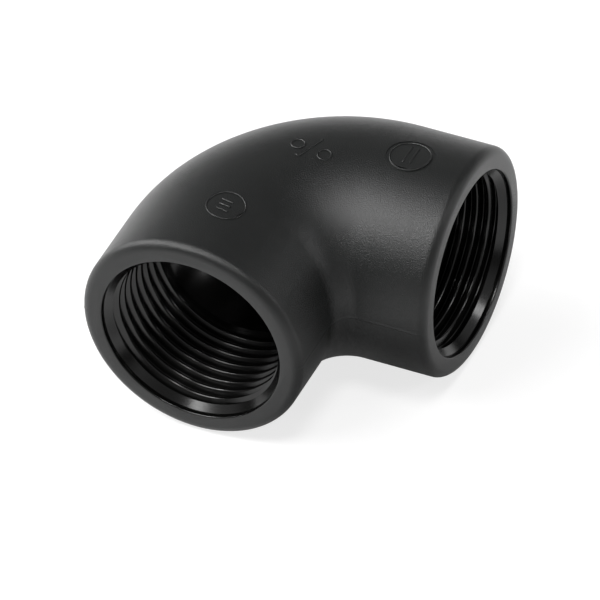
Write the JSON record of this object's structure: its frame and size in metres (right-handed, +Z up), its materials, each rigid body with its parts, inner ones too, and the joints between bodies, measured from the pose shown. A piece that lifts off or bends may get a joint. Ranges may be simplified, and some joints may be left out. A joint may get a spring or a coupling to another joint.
{
  "type": "polypropylene elbow",
  "caption": "Right-angle plastic pipe elbow with a female parallel pipe thread in each port, for joining two threaded pipes or fittings.",
  "frame": {"origin": "middle of the bounding box's bottom, where the elbow lies on a surface", "axes": "-Y along the inlet port's axis, out of its mouth; +X along the outlet port's axis, out of its mouth; +Z up, square to both port axes"},
  "size_m": [0.058, 0.058, 0.042],
  "materials": {
    "body": "fine grained matte black polypropylene, glossier inside the ports"
  },
  "bodies": {
    "root": {"elbow_body": "body"}
  },
  "joints": []
}
